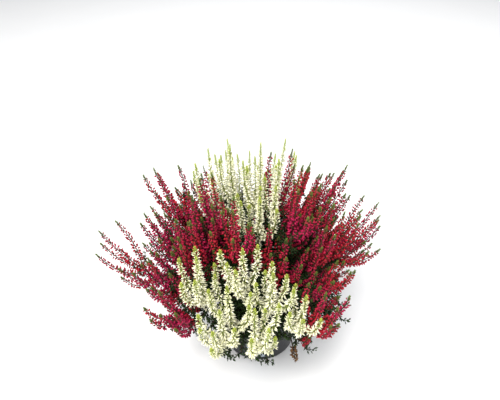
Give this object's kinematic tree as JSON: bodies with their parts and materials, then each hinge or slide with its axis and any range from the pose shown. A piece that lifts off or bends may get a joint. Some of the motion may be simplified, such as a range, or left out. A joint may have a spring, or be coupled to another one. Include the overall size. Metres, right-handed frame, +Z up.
{
  "type": "potted heather",
  "caption": "Bushy bud-flowering heather with crimson and creamy white racemes on leafy stems, rooted in soil in a round tapered nursery pot.",
  "frame": {"origin": "centre of the pot's underside", "axes": "+Z up along the pot's axis; the front of the plant, where the low white racemes hang, faces -Y"},
  "size_m": [0.3059, 0.262, 0.2504],
  "materials": {
    "pot_plastic": "matte",
    "soil": "matte",
    "leafy_stems": "matte",
    "crimson_flowers": "matte",
    "white_flowers": "matte"
  },
  "bodies": {
    "root": {"pot": "pot_plastic", "red_left_stems": "leafy_stems", "red_right_stems": "leafy_stems", "soil": "soil", "spray_01": "white_flowers", "spray_02": "white_flowers", "spray_03": "white_flowers", "spray_04": "crimson_flowers", "spray_05": "crimson_flowers", "spray_06": "crimson_flowers", "spray_07": "white_flowers", "spray_08": "crimson_flowers", "spray_09": "crimson_flowers", "spray_10": "crimson_flowers", "spray_11": "crimson_flowers", "spray_12": "white_flowers", "spray_13": "crimson_flowers", "spray_14": "crimson_flowers", "spray_15": "white_flowers", "spray_16": "white_flowers", "spray_17": "crimson_flowers", "spray_18": "crimson_flowers", "spray_19": "crimson_flowers", "spray_20": "white_flowers", "spray_21": "white_flowers", "spray_22": "crimson_flowers", "spray_23": "crimson_flowers", "spray_24": "white_flowers", "spray_25": "crimson_flowers", "spray_26": "crimson_flowers", "spray_27": "crimson_flowers", "spray_28": "crimson_flowers", "spray_29": "white_flowers", "spray_30": "crimson_flowers", "spray_31": "crimson_flowers", "spray_32": "white_flowers", "spray_33": "white_flowers", "spray_34": "crimson_flowers", "spray_35": "crimson_flowers", "spray_36": "crimson_flowers", "spray_37": "white_flowers", "spray_38": "crimson_flowers", "spray_39": "crimson_flowers", "spray_40": "crimson_flowers", "spray_41": "white_flowers", "spray_42": "white_flowers", "spray_43": "crimson_flowers", "spray_44": "crimson_flowers", "spray_45": "crimson_flowers", "spray_46": "crimson_flowers", "spray_47": "white_flowers", "spray_48": "white_flowers", "spray_49": "crimson_flowers", "spray_50": "white_flowers", "spray_51": "white_flowers", "spray_52": "crimson_flowers", "spray_53": "white_flowers", "white_back_stems": "leafy_stems", "white_front_stems": "leafy_stems"}
  },
  "joints": []
}
